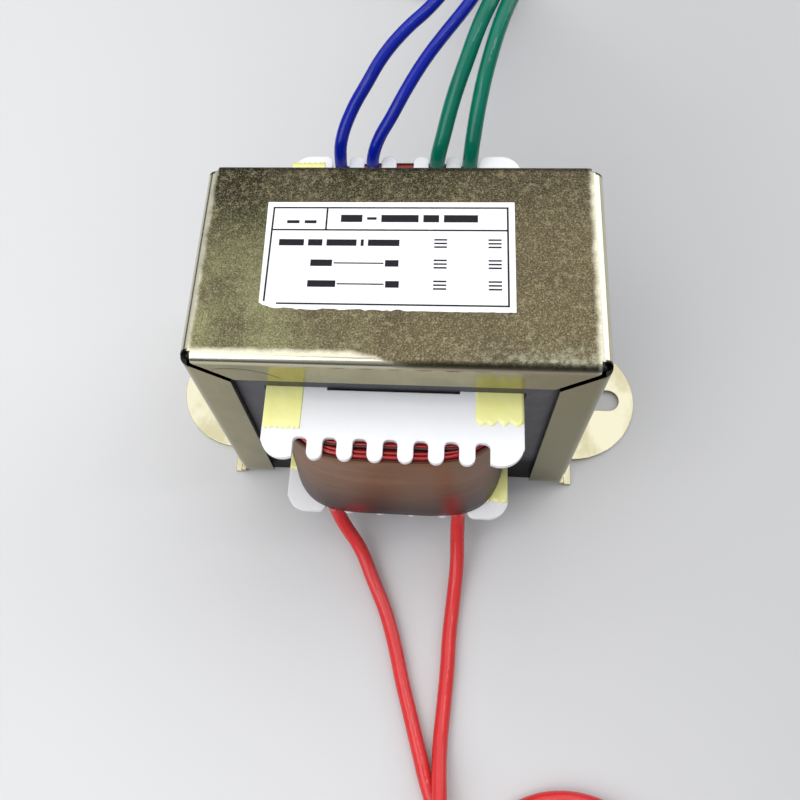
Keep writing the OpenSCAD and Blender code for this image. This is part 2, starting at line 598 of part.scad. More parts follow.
frame();
e_laminations();
i_laminations();
bobbin();
primary_winding();
primary_insulation();
secondary_winding_main();
secondary_insulation();
secondary_winding_low();
outer_wrap();
tape_top_left();
tape_top_right();
tape_bottom_left();
tape_bottom_right();
label();
red_lead_left();
red_lead_right();
blue_lead_outer();
blue_lead_inner();
green_lead_inner();
green_lead_outer();
red_lead_coil();
secondary_lead_coil();
red_tie();
secondary_tie();
red_tinned_ends();
blue_tinned_ends();
green_tinned_ends();
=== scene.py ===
# %% [markdown]
# # A laminated chassis transformer
# The real object is a stack of steel sheets held in a folded zinc-plated channel. A white moulded bobbin
# with comb-like flanges carries enamelled windings under a brown film, and six PVC leads come out of the
# combs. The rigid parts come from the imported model. This lesson gives them their finishes, and builds what
# is soft or fine: the leads, the turns of wire, the film, the tapes and the print on the label.

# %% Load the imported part
import math
import random

import bmesh
import bpy
from mathutils import Matrix, Vector, noise


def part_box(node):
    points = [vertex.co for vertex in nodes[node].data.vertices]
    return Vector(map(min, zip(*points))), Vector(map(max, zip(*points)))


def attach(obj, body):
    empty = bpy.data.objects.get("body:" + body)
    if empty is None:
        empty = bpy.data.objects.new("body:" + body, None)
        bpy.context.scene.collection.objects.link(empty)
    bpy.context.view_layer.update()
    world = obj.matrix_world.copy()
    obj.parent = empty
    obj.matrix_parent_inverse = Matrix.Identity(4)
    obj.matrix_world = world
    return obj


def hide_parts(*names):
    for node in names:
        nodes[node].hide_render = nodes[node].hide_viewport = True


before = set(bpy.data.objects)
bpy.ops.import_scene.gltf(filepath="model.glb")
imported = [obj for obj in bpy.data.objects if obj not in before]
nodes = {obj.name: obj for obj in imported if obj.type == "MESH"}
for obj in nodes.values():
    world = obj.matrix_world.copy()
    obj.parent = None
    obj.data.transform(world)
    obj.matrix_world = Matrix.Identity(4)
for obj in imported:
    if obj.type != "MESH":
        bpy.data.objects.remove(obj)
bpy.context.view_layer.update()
MM = 0.001

# %% [markdown]
# ## The camera
# A product on a bench is often shown from above, by a camera held in the hand. The camera is placed by its
# position and three angles: yaw turns it about the vertical, pitch tips it down and roll tilts its top. A
# matrix built from the three directions is easier to check than Euler angles. The shift moves the frame a
# little without turning the camera.

# %% Camera
CAMERA_PLACE = Vector((7.3, -75.9, 176.4)) * MM
CAMERA_YAW, CAMERA_PITCH, CAMERA_ROLL = -0.2658, -1.1406, -0.2118
CAMERA_LENS = 38.68  # millimetres, over a sensor 36 mm wide
CAMERA_SHIFT = (0.0722, -0.0190)  # shares of the frame's width
NEAREST = 5 * MM


def camera_matrix(place, yaw, pitch, roll):
    """World matrix of a camera that looks along yaw and pitch, its top tilted by roll, all in radians."""
    ahead = Vector((math.sin(yaw) * math.cos(pitch), math.cos(yaw) * math.cos(pitch), math.sin(pitch)))
    level = Vector((math.cos(yaw), -math.sin(yaw), 0))
    over = level.cross(ahead)
    side = level * math.cos(roll) + over * math.sin(roll)
    top = over * math.cos(roll) - level * math.sin(roll)
    matrix = Matrix((side, top, -ahead)).transposed().to_4x4()
    matrix.translation = place
    return matrix


camera_data = bpy.data.cameras.new("camera")
camera_data.lens = CAMERA_LENS
camera_data.shift_x, camera_data.shift_y = CAMERA_SHIFT
camera_data.clip_start = NEAREST
camera = bpy.data.objects.new("camera", camera_data)
camera.matrix_world = camera_matrix(CAMERA_PLACE, CAMERA_YAW, CAMERA_PITCH, CAMERA_ROLL)
bpy.context.collection.objects.link(camera)
bpy.context.scene.camera = camera
print("camera height in mm:", round(camera.matrix_world.translation.z / MM))

# %% [markdown]
# ## Helpers for objects and materials
# Every later step adds objects and shader nodes, so small helpers keep the steps short. Colours are picked
# as sRGB hex values, because that is how a colour is read off a sample, and turned to the linear values
# that the renderer adds up. Patterns are laid out in millimetres from the object's own coordinates.

# %% Helpers for objects
def add_piece(name, data, material, replaced=()):
    """Links new geometry as a piece that rides on the part and stands for the replaced CAD nodes."""
    piece = bpy.data.objects.new(name, data)
    bpy.context.collection.objects.link(piece)
    piece.data.materials.append(material)
    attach(piece, "root")
    if replaced:
        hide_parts(*replaced)
    return piece


def finished_mesh(mesh, name):
    """Mesh data from a bmesh, which is freed."""
    data = bpy.data.meshes.new(name)
    mesh.to_mesh(data)
    mesh.free()
    return data


# %% Helpers for shader nodes
def linear(code):
    """sRGB hex such as '#c0ffee' to a linear RGBA colour."""
    channels = [int(code[i:i + 2], 16) / 255 for i in (1, 3, 5)]
    return (*[c / 12.92 if c <= 0.04045 else ((c + 0.055) / 1.055) ** 2.4 for c in channels], 1.0)


def add_node(tree, kind, settings=(), inputs=()):
    """One shader node with its settings. An input takes a value, or a link when it is given a socket."""
    made = tree.nodes.new(kind)
    for name, value in dict(settings).items():
        setattr(made, name, value)
    for key, value in dict(inputs).items():
        if isinstance(value, bpy.types.NodeSocket):
            tree.links.new(value, made.inputs[key])
        else:
            made.inputs[key].default_value = value
    return made


def start_material(name, **shader_inputs):
    """A material with a Principled shader. Returns the material, its node tree and the shader."""
    material = bpy.data.materials.new(name)
    material.use_nodes = True
    tree = material.node_tree
    shader = tree.nodes["Principled BSDF"]
    for key, value in shader_inputs.items():
        shader.inputs[key.replace("_", " ")].default_value = value
    return material, tree, shader


def place_in_mm(tree):
    """The point on the object in millimetres, as a vector socket."""
    coordinates = add_node(tree, "ShaderNodeTexCoord")
    scaled = add_node(tree, "ShaderNodeVectorMath", {"operation": "SCALE"},
                      {0: coordinates.outputs["Object"], "Scale": 1 / MM})
    return scaled.outputs[0]


def bump(tree, shader, height, depth_mm, soft_edge_mm=0.0):
    """Bump of the given depth in millimetres, over edges that look rounded by soft_edge_mm."""
    made = add_node(tree, "ShaderNodeBump", {}, {"Height": height, "Distance": depth_mm * MM})
    if soft_edge_mm:
        soft = add_node(tree, "ShaderNodeBevel", {"samples": 6}, {"Radius": soft_edge_mm * MM})
        tree.links.new(soft.outputs[0], made.inputs["Normal"])
    tree.links.new(made.outputs[0], shader.inputs["Normal"])


# %% [markdown]
# A pattern is built from numbers between 0 and 1. Such a mask says where a colour lies, and masks are
# multiplied where all of their conditions have to hold.

# %% Helpers for masks and colours
def math_value(tree, operation, first, second=0.0, clamp=False):
    """Socket with the result of one Math node."""
    return add_node(tree, "ShaderNodeMath", {"operation": operation, "use_clamp": clamp},
                    {0: first, 1: second}).outputs[0]


def times(tree, *values):
    """Product of sockets and numbers."""
    product = values[0]
    for value in values[1:]:
        product = math_value(tree, "MULTIPLY", product, value)
    return product


def plus(tree, *values):
    """Sum of sockets and numbers."""
    total = values[0]
    for value in values[1:]:
        total = math_value(tree, "ADD", total, value)
    return total


def split(tree, vector):
    """The X, Y and Z sockets of a vector."""
    return add_node(tree, "ShaderNodeSeparateXYZ", {}, {0: vector}).outputs


def fade(tree, value, low, high):
    """0 below low and 1 above high, with a smooth step between."""
    ranged = add_node(tree, "ShaderNodeMapRange", {"interpolation_type": "SMOOTHSTEP"},
                      {"Value": value, "From Min": low, "From Max": high})
    return ranged.outputs["Result"]


def fade_away(tree, value, low, high):
    """The same for the distance from 0 on either side."""
    return fade(tree, math_value(tree, "ABSOLUTE", value), low, high)


def grain(tree, place, size_mm, detail=3.0, roughness=0.5, stretch=(1, 1, 1)):
    """Noise from 0 to 1 whose grains are about size_mm across."""
    stretched = add_node(tree, "ShaderNodeVectorMath", {"operation": "DIVIDE"},
                         {0: place, 1: tuple(size_mm * s for s in stretch)})
    return add_node(tree, "ShaderNodeTexNoise", {},
                    {"Vector": stretched.outputs[0], "Scale": 1.0, "Detail": detail,
                     "Roughness": roughness}).outputs["Fac"]


def blend_color(tree, amount, first, second):
    """Mixes two colours, given as sRGB hex or as sockets."""
    mix = add_node(tree, "ShaderNodeMix", {"data_type": "RGBA"}, {0: amount})
    for index, color in ((6, first), (7, second)):
        if isinstance(color, str):
            mix.inputs[index].default_value = linear(color)
        else:
            tree.links.new(color, mix.inputs[index])
    return mix.outputs[2]


def overlay(tree, tone, mask, strength, color):
    """The tone, covered by the colour up to the given strength where the mask is 1."""
    return blend_color(tree, times(tree, mask, strength), tone, color)


# %% [markdown]
# ## PVC leads
# A lead is a bundle of tinned strands in a smooth extruded PVC jacket. It springs out of the comb, bows
# over and comes to rest on the bench, where the spare length is wound in a flat coil and tied. A curve with
# a round bevel is the natural tool: the free stretch follows given points, and a loop works out the coil's
# turns.

# %% Material: flexible PVC, extruded and glossy
def pvc(name, color, deep):
    """Extruded PVC jacket: dyed through, waxy gloss, with a faint ripple from the die."""
    material, tree, shader = start_material(name, Roughness=0.16, IOR=1.53, Specular_IOR_Level=0.3)
    place = place_in_mm(tree)
    cloud = grain(tree, place, 6.0, 2.0)
    tree.links.new(blend_color(tree, cloud, color, deep), shader.inputs["Base Color"])
    bump(tree, shader, grain(tree, place, 1.4, 2.0), 0.06)
    return material


red_pvc = pvc("red_pvc", "#da3a3a", "#c62c30")
blue_pvc = pvc("blue_pvc", "#0620a4", "#051684")
green_pvc = pvc("green_pvc", "#01765f", "#015d4a")

# %% [markdown]
# The tinned ends are seven strands twisted together and dipped in solder.

# %% Material: tinned copper strand
tinned_copper, tinned_tree, tinned_shader = start_material("tinned_copper", Metallic=1.0, Roughness=0.28)
tinned_place = place_in_mm(tinned_tree)
tinned_tree.links.new(blend_color(tinned_tree, grain(tinned_tree, tinned_place, 0.8), "#cfccc4", "#a8a49a"),
                      tinned_shader.inputs["Base Color"])

# %% Routes of the free stretches, in millimetres
BLUE_OUTER_ROUTE = [
    (-12.2, 28.8, 43.1), (-12.2, 28.8, 45.2), (-11.9, 30.6, 48.6), (-10, 34.3, 52.3), (-7.1, 37.8, 55.8),
    (-4.1, 42.1, 58.3), (-0.4, 46.2, 60.1), (3.7, 50.1, 61.3), (7, 54.7, 61.9), (9.3, 60, 61.4),
    (11.1, 65.1, 59.3), (12.4, 69.9, 56.3), (13.3, 74.4, 52.8), (14.1, 78.8, 49.1), (14.7, 83, 45.2),
    (15.2, 87.2, 41.3), (15.7, 91.4, 37.3), (16, 95.6, 33.3), (16.3, 99.8, 29.3), (16.6, 103.9, 25.2),
    (16.8, 108, 21.2), (16.9, 112.2, 17.2), (17, 116.4, 13.2), (17, 120.6, 9.2), (17, 125, 5.6),
    (16.9, 130, 2.9), (16.9, 135.7, 1.8), (16.9, 141.5, 1.6)]
BLUE_INNER_ROUTE = [
    (-6.1, 28.8, 43.1), (-6.1, 28.8, 45.2), (-5.1, 30.5, 48.5), (-2.4, 33.7, 52), (0.3, 37.8, 54.7),
    (3.3, 42.1, 57), (6.6, 46.3, 58.8), (9.9, 50.8, 59.9), (12.7, 55.8, 60.3), (14.5, 61, 59.5),
    (15.6, 66.1, 57.3), (16.4, 70.9, 54.3), (17, 75.3, 50.8), (17.5, 79.6, 47), (17.9, 83.7, 43.1),
    (18.2, 87.8, 39.2), (18.5, 91.8, 35.2), (18.7, 95.9, 31.3), (18.9, 99.9, 27.3), (19.1, 104, 23.3),
    (19.2, 108, 19.2), (19.3, 111.9, 15.2), (19.4, 116, 11.2), (19.4, 120.3, 7.6), (19.4, 124.9, 4.4),
    (19.4, 130.1, 2.4), (19.4, 135.8, 1.7), (19.4, 141.5, 1.6)]
GREEN_INNER_ROUTE = [
    (6.1, 28.8, 43.1), (6.1, 28.8, 45.2), (7.1, 31.3, 49.4), (8.7, 36.1, 53.8), (10.8, 41.6, 57.2),
    (13, 47.6, 59.8), (15.5, 53.8, 61), (17.6, 60.3, 60.8), (19.1, 66.6, 58.4), (20.1, 72.3, 54.8),
    (20.8, 77.6, 50.5), (21.3, 82.8, 45.9), (21.7, 87.8, 41.2), (21.9, 92.7, 36.5), (22.1, 97.7, 31.7),
    (22.2, 102.7, 27), (22.2, 107.7, 22.2), (22.2, 112.7, 17.6), (22.2, 117.8, 12.9), (22.2, 122.8, 8.4),
    (22.2, 128.2, 4.6), (22.2, 134.7, 2), (22.2, 141.5, 1.85)]
GREEN_OUTER_ROUTE = [
    (12.2, 28.8, 43.1), (12.2, 28.8, 45.2), (12.6, 31.3, 49.4), (13.5, 36.2, 53.8), (14.9, 42.1, 57),
    (16.7, 48.3, 59.2), (19, 54.7, 60.1), (21.6, 60.8, 59.3), (23.1, 66.9, 56.5), (24, 72.4, 52.6),
    (24.6, 77.5, 48.1), (24.9, 82.5, 43.6), (25.1, 87.5, 38.9), (25.2, 92.4, 34.1), (25.2, 97.3, 29.3),
    (25.2, 102.1, 24.5), (25.2, 106.9, 19.7), (25.2, 111.7, 14.9), (25.2, 116.7, 10.4), (25.2, 122.1, 6.3),
    (25.1, 128.1, 3.2), (25.1, 134.7, 2), (25.1, 141.5, 1.85)]
RED_LEFT_ROUTE = [
    (-12.2, -28.9, 12.5), (-12.1, -29.1, 10.4), (-10.6, -31.4, 7.2), (-7.1, -35.8, 3.7), (-4.3, -41.6, 2.1),
    (-1.5, -47.6, 1.5), (0.6, -53.9, 1.4), (2.3, -60.3, 1.4), (4.2, -66.7, 1.4), (6.1, -73.1, 1.4),
    (8.1, -79.4, 1.4), (10.8, -85.4, 1.4), (14.5, -90.7, 1.5), (17.3, -95.2, 1.7), (18.1, -99.3, 1.8)]
RED_RIGHT_ROUTE = [
    (12.2, -28.9, 12.5), (12.2, -29.2, 10.4), (12.2, -32.3, 7), (12.3, -38, 3.4), (11.8, -44.5, 1.7),
    (11.2, -51.3, 1.4), (10.9, -58, 1.4), (10.4, -64.8, 1.4), (9.9, -71.5, 1.9), (9.9, -78.1, 3.5),
    (10.4, -84.7, 4.5), (11.7, -89.6, 4.6), (13.4, -93.6, 3.2), (14.8, -96.9, 2), (15.4, -99.8, 1.8)]

# %% Tools for coils, curves and strands
RED_COIL, SECONDARY_COIL = (33, -96.7), (5, 141.5)
COIL_STEP = 15  # degrees between two points of a coil
STRIP_LENGTH = 6
STRAND_RADIUS = 0.22
OUTER_STRANDS, STRAND_STEPS = 6, 12


def coil_lane(center, radius, height, start, end):
    """Points round a coil, anticlockwise from start to end in degrees, about 24 to a turn."""
    steps = math.ceil((end - start) / COIL_STEP)
    angles = [math.radians(start + (end - start) * i / steps) for i in range(1, steps + 1)]
    return [(center[0] + radius * math.cos(a), center[1] + radius * math.sin(a), height) for a in angles]


def path_length(points):
    """Length along straight steps between points."""
    return sum((Vector(b) - Vector(a)).length for a, b in zip(points, points[1:]))


def smooth_curve(name, strands, radius_mm, resolution=4, sides=4):
    """A curve of round section that runs smoothly through each list of points."""
    curve = bpy.data.curves.new(name, "CURVE")
    curve.dimensions = "3D"
    curve.bevel_depth = radius_mm * MM
    curve.bevel_resolution = sides
    curve.use_fill_caps = True
    curve.resolution_u = resolution
    for points in strands:
        spline = curve.splines.new("BEZIER")
        spline.bezier_points.add(len(points) - 1)
        for knot, point in zip(spline.bezier_points, points):
            knot.co = Vector(point) * MM
            knot.handle_left_type = knot.handle_right_type = "AUTO"
    return curve


def twisted_strands(start, direction, radius_mm, twists=2.0):
    """Points of seven strands: one straight, six wound round it along direction from start."""
    along = Vector(direction).normalized()
    across = along.orthogonal().normalized()
    middle = [Vector(start) + along * STRIP_LENGTH * step / STRAND_STEPS for step in range(STRAND_STEPS + 1)]
    strands = [middle]
    for strand in range(OUTER_STRANDS):
        points = []
        for step, point in enumerate(middle):
            angle = math.tau * (strand / OUTER_STRANDS + twists * step / STRAND_STEPS)
            points.append(point + Matrix.Rotation(angle, 3, along) @ across * radius_mm)
        strands.append(points)
    return strands


# %% The six leads
leads = {
    "red_left": dict(route=RED_LEFT_ROUTE, center=RED_COIL, radius=15.1, turn=(190, 490), d=2.8,
                     pvc=red_pvc, solids=["red_lead_left", "red_lead_coil"]),
    "red_right": dict(route=RED_RIGHT_ROUTE, center=RED_COIL, radius=17.9, turn=(190, 486), d=2.8,
                      pvc=red_pvc, solids=["red_lead_right"]),
    "blue_outer": dict(route=BLUE_OUTER_ROUTE, center=SECONDARY_COIL, radius=11.9, turn=(0, 287), d=2.4,
                       pvc=blue_pvc, solids=["blue_lead_outer", "secondary_lead_coil"]),
    "blue_inner": dict(route=BLUE_INNER_ROUTE, center=SECONDARY_COIL, radius=14.4, turn=(0, 282), d=2.4,
                       pvc=blue_pvc, solids=["blue_lead_inner"]),
    "green_inner": dict(route=GREEN_INNER_ROUTE, center=SECONDARY_COIL, radius=17.2, turn=(0, 280), d=2.9,
                        pvc=green_pvc, solids=["green_lead_inner"]),
    "green_outer": dict(route=GREEN_OUTER_ROUTE, center=SECONDARY_COIL, radius=20.1, turn=(0, 242), d=2.9,
                        pvc=green_pvc, solids=["green_lead_outer"]),
}
strip_ends = {"red": [], "blue": [], "green": []}
for lead_name, lead in leads.items():
    color_name = lead_name.split("_")[0]
    points = lead["route"] + coil_lane(lead["center"], lead["radius"], lead["route"][-1][2], *lead["turn"])
    lead["length"] = path_length(points)
    last_turn = math.radians(lead["turn"][1])
    heading = Vector((-math.sin(last_turn), math.cos(last_turn), 0))
    strip_ends[color_name] += twisted_strands(points[-1], heading, STRAND_RADIUS * 2)
    curve = smooth_curve(lead_name + "_wire", [points], lead["d"] / 2, sides=5)
    lead["piece"] = add_piece(lead_name + "_wire", curve, lead["pvc"], lead["solids"])

for color_name, strands in strip_ends.items():
    curve = smooth_curve(color_name + "_strands", strands, STRAND_RADIUS, resolution=2, sides=2)
    add_piece(color_name + "_strands", curve, tinned_copper,
                                   [color_name + "_tinned_ends"])
for lead_name, lead in leads.items():
    print(lead_name, "lead, length in mm:", round(lead["length"] + STRIP_LENGTH))

# %% [markdown]
# ## Stage
# The part stands on a plain pale bench. A wide soft box hangs over it and the key light stands on the left
# at the front, so the shadows are weak and fall to the right. Metal and gloss show what surrounds them, so
# three more lights are there to be mirrored. The window at the back on the right makes a bright line along
# the bend of the channel's right side, a weak light stands at the back on the left, and a narrow strip lamp
# overhead draws thin highlights on the leads. The sky is bright overhead and dim at the horizon, as a room
# is, and that draws the dark lines along the bends.

# %% Bench
BENCH_HALF = 4.0  # metres, much wider than the view from above
bench_material, bench_tree, bench_shader = start_material("bench", Roughness=0.55)
bench_place = place_in_mm(bench_tree)
bench_x, bench_y = split(bench_tree, bench_place)[:2]
# painted shade: the bench darkens towards the right and the back, away from the key light
shadeward = plus(bench_tree, bench_x, times(bench_tree, bench_y, 0.25),
                 times(bench_tree, grain(bench_tree, bench_place, 90.0), 30.0))
bench_tone = blend_color(bench_tree, fade(bench_tree, shadeward, -90.0, 130.0), "#d3d3d4", "#bcbcbd")
bench_tree.links.new(bench_tone, bench_shader.inputs["Base Color"])
bench_corners = [(x * BENCH_HALF, y * BENCH_HALF, 0) for x, y in ((-1, -1), (1, -1), (1, 1), (-1, 1))]
bench_mesh = bpy.data.meshes.new("bench")
bench_mesh.from_pydata(bench_corners, [], [(0, 1, 2, 3)])
bench = bpy.data.objects.new("bench", bench_mesh)
bench.data.materials.append(bench_material)
bpy.context.collection.objects.link(bench)

# %% Lights
PART_MIDDLE = Vector((0, 0, 25)) * MM


def soft_light(name, place_mm, size_mm, watts):
    """A white rectangular soft box that points at the part."""
    data = bpy.data.lights.new(name, "AREA")
    data.shape = "RECTANGLE"
    data.size, data.size_y = size_mm[0] * MM, size_mm[1] * MM
    data.energy = watts
    light = bpy.data.objects.new(name, data)
    light.location = Vector(place_mm) * MM
    light.rotation_mode = "QUATERNION"
    light.rotation_quaternion = (PART_MIDDLE - light.location).to_track_quat("-Z", "Y")
    bpy.context.collection.objects.link(light)


soft_light("overhead", (-180, 300, 850), (1400, 800), 4.2)
soft_light("key", (-430, -420, 640), (640, 900), 4.4)
soft_light("window", (640, 440, 420), (520, 700), 2.2)
soft_light("side", (-760, 560, 480), (500, 420), 0.4)
soft_light("lamp", (210, 30, 720), (40, 420), 0.5)

# %% Sky
SKY_STRENGTH = 0.54
surroundings = bpy.data.worlds.new("surroundings")
surroundings.use_nodes = True
sky_tree = surroundings.node_tree
background = sky_tree.nodes["Background"]
sky_up = split(sky_tree, add_node(sky_tree, "ShaderNodeTexCoord").outputs["Generated"])["Z"]
sky_tone = blend_color(sky_tree, fade(sky_tree, sky_up, 0.1, 0.7), "#77777b", "#eef0f4")
sky_tree.links.new(sky_tone, background.inputs["Color"])
background.inputs["Strength"].default_value = SKY_STRENGTH
bpy.context.scene.world = surroundings
bpy.context.scene.view_settings.view_transform = "Standard"

# %% [markdown]
# ## The channel: cold-rolled steel, zinc plated and passivated
# Passivation leaves a thin olive-yellow film. On the flat top it is dull and mottled, since the sheet is
# slightly pitted, and at the bends the stretched skin is smoother and paler. So the material follows the
# place on the sheet, and the first thing to work out is how far each point lies from the channel's four
# sides.

# %% Material: passivated zinc on steel sheet
SIDE_STANDOFF = 1.05  # clearance and sheet thickness outside the core
TOP_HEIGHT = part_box("frame")[1].z / MM
HALF_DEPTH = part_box("frame")[1].y / MM
HALF_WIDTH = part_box("e_laminations")[1].x / MM + SIDE_STANDOFF
zinc, zinc_tree, zinc_shader = start_material("passivated_zinc", Metallic=1.0)
zinc_place = place_in_mm(zinc_tree)
zinc_x, zinc_y, zinc_z = split(zinc_tree, zinc_place)
from_right = math_value(zinc_tree, "SUBTRACT", HALF_WIDTH, zinc_x)
from_left = plus(zinc_tree, HALF_WIDTH, zinc_x)
from_front = plus(zinc_tree, HALF_DEPTH, zinc_y)
from_back = math_value(zinc_tree, "SUBTRACT", HALF_DEPTH, zinc_y)

# %% Patterns of the zinc, from fine to coarse
pits = grain(zinc_tree, zinc_place, 0.3, 6.0, 0.9)
spots = grain(zinc_tree, zinc_place, 1.1, 5.0, 0.8)
streaks = grain(zinc_tree, zinc_place, 1.6, 3.0, 0.6, (0.5, 3.0, 3.0))
wander = times(zinc_tree, grain(zinc_tree, zinc_place, 3.0, 4.0, 0.65), 1.6)
cloud = grain(zinc_tree, zinc_place, 9.0, 4.0, 0.6, (1.0, 1.6, 1.0))

# %% [markdown]
# The stain covers the top up to a bare strip along the bends, with a ragged border. Along the front the
# strip is widest on the left, and on the right the stain runs out over the bend.

# %% Where the top is stained
BARE_RIGHT, BARE_LEFT = 1.3, 0.7
BARE_FRONT, BARE_FRONT_LOSS = 1.1, 3.4  # width at the front's left end, and how much less on the right


def inside(edge_distance, bare_width):
    """1 where the stain lies, further from an edge than the bare strip is wide, with a ragged border."""
    covered = math_value(zinc_tree, "SUBTRACT", edge_distance, wander)
    return fade(zinc_tree, math_value(zinc_tree, "SUBTRACT", covered, bare_width), -0.3, 0.9)


on_top = fade(zinc_tree, zinc_z, TOP_HEIGHT - 1.6, TOP_HEIGHT - 0.4)
bare_front = math_value(zinc_tree, "SUBTRACT", BARE_FRONT,
                        times(zinc_tree, fade(zinc_tree, zinc_x, -8.0, 9.0), BARE_FRONT_LOSS))
stained = times(zinc_tree, on_top, inside(from_right, BARE_RIGHT), inside(from_left, BARE_LEFT),
                inside(from_front, bare_front))

# %% [markdown]
# The stain is greener on the left and browner on the right. Towards the back, and a little to the left,
# it is darkened by painted shade. Clouds, spots and pits lie over that. On the right there is also a
# frosted patch near the front, and a painted dark line of shade along the right part of the front bend.

# %% Colours of the stain, with painted shade
green_stain = plus(zinc_tree, from_left, times(zinc_tree, cloud, 30.0))
# painted shade: the stain darkens towards the back and a little to the left
painted_back_shade = plus(zinc_tree, from_back, times(zinc_tree, cloud, 16.0), times(zinc_tree, from_left, 0.22))
frosted = times(zinc_tree, fade(zinc_tree, plus(zinc_tree, from_front, wander), 6.0, 1.5),
                fade(zinc_tree, zinc_x, 6.0, 28.0), fade(zinc_tree, spots, 0.4, 0.62))
# painted shade: a dark line along the front bend, right of the middle
painted_bend_shade = times(zinc_tree, fade(zinc_tree, from_front, 1.5, 0.6), fade(zinc_tree, zinc_x, -4.0, 8.0))
stain_tone = blend_color(zinc_tree, fade(zinc_tree, green_stain, 18.0, 50.0), "#83835f", "#665c46")
stain_tone = blend_color(zinc_tree, fade(zinc_tree, painted_back_shade, 11.0, 39.0), "#2b291d", stain_tone)
for mask, strength, color in ((fade(zinc_tree, cloud, 0.45, 0.68), 0.7, "#52493a"),
                              (fade(zinc_tree, spots, 0.5, 0.62), 0.45, "#9c9474"),
                              (fade(zinc_tree, pits, 0.52, 0.66), 0.75, "#c2ba9a"),
                              (fade(zinc_tree, pits, 0.5, 0.4), 0.65, "#232116"),
                              (frosted, 0.75, "#a3a791"), (painted_bend_shade, 0.85, "#26241a")):
    stain_tone = overlay(zinc_tree, stain_tone, mask, strength, color)

# %% [markdown]
# The walls are smooth and faintly streaked, with a cooler drift in places. They are browner and darker on
# the right, partly in their own colour and partly as painted shade. The feet at the bottom and the
# stretched skin of the top bends are paler.

# %% Colours of the smooth skin
# partly painted shade: the right side is browner and darker
browned_and_shaded = fade(zinc_tree, plus(zinc_tree, zinc_x, times(zinc_tree, cloud, 30.0)), 22.0, 52.0)
foot_tone = blend_color(zinc_tree, fade(zinc_tree, cloud, 0.4, 0.62), "#c8c3aa", "#b2ac8c")
stretched = fade(zinc_tree, zinc_z, TOP_HEIGHT - 1.8, TOP_HEIGHT - 0.9)
smooth_tone = blend_color(zinc_tree, streaks, "#918a69", "#a29b7b")
smooth_tone = blend_color(zinc_tree, browned_and_shaded, smooth_tone, "#847b5c")
smooth_tone = overlay(zinc_tree, smooth_tone, fade(zinc_tree, cloud, 0.42, 0.6), 0.5, "#868666")
smooth_tone = blend_color(zinc_tree, fade(zinc_tree, zinc_z, 1.5, 4.0), foot_tone, smooth_tone)
smooth_tone = blend_color(zinc_tree, stretched, smooth_tone, "#cdc9b3")
zinc_tone = blend_color(zinc_tree, stained, smooth_tone, stain_tone)

# %% [markdown]
# Where the sheet was sheared its dark edge shows on the inner edges of the flanges, which don't face the
# front or back; that dark is partly the oxidised cut edge and partly painted shade. At the corners, where
# the mitres open, the dark is painted shade in the recess.

# %% Sheared edges with painted shade, and painted shade in the open corners
facing_y = split(zinc_tree, add_node(zinc_tree, "ShaderNodeTexCoord").outputs["Normal"])["Y"]
# partly painted shade: the dark inner edges of the flanges
flange_edge_and_shade = times(zinc_tree, fade_away(zinc_tree, facing_y, 0.4, 0.2),
                    fade_away(zinc_tree, zinc_x, HALF_WIDTH - 2.0, HALF_WIDTH - 2.3),
                    fade_away(zinc_tree, zinc_z, TOP_HEIGHT - 2.0, TOP_HEIGHT - 2.3),
                    fade_away(zinc_tree, zinc_y, HALF_DEPTH - 1.0, HALF_DEPTH - 0.96))
# painted shade in the recess where the mitres open at the corners
corner = times(zinc_tree, fade_away(zinc_tree, zinc_x, HALF_WIDTH - 1.7, HALF_WIDTH - 1.3),
               fade_away(zinc_tree, zinc_y, HALF_DEPTH - 2.3, HALF_DEPTH - 1.9),
               fade_away(zinc_tree, zinc_z, TOP_HEIGHT - 3.2, TOP_HEIGHT - 2.2))
cut_edge_and_shade = math_value(zinc_tree, "MAXIMUM", flange_edge_and_shade, corner)
zinc_tone = blend_color(zinc_tree, cut_edge_and_shade, zinc_tone, "#25241f")

# %% [markdown]
# Handling leaves marks. One curved scratch runs over the front flange near its upper left corner. It is a
# thin part of a circle: the points whose distance from a middle is close to the radius.

# %% A scratch on the front flange
SCRATCH_X, SCRATCH_Z, SCRATCH_RADIUS = -25.8, 43.0, 10.6
scratch_across = math_value(zinc_tree, "POWER", plus(zinc_tree, zinc_x, -SCRATCH_X), 2.0)
scratch_rise = math_value(zinc_tree, "POWER", plus(zinc_tree, zinc_z, -SCRATCH_Z), 2.0)
scratch_arm = math_value(zinc_tree, "SQRT", plus(zinc_tree, scratch_across, scratch_rise))
off_scratch = math_value(zinc_tree, "SUBTRACT", scratch_arm, SCRATCH_RADIUS)
scratch = times(zinc_tree, fade_away(zinc_tree, off_scratch, 0.18, 0.07), fade(zinc_tree, zinc_z, 49.5, 51.0),
                fade(zinc_tree, zinc_x, -29.5, -28.0), fade(zinc_tree, from_front, 1.0, 0.8))
zinc_tone = overlay(zinc_tree, zinc_tone, scratch, 0.9, "#34321e")
zinc_tree.links.new(zinc_tone, zinc_shader.inputs["Base Color"])

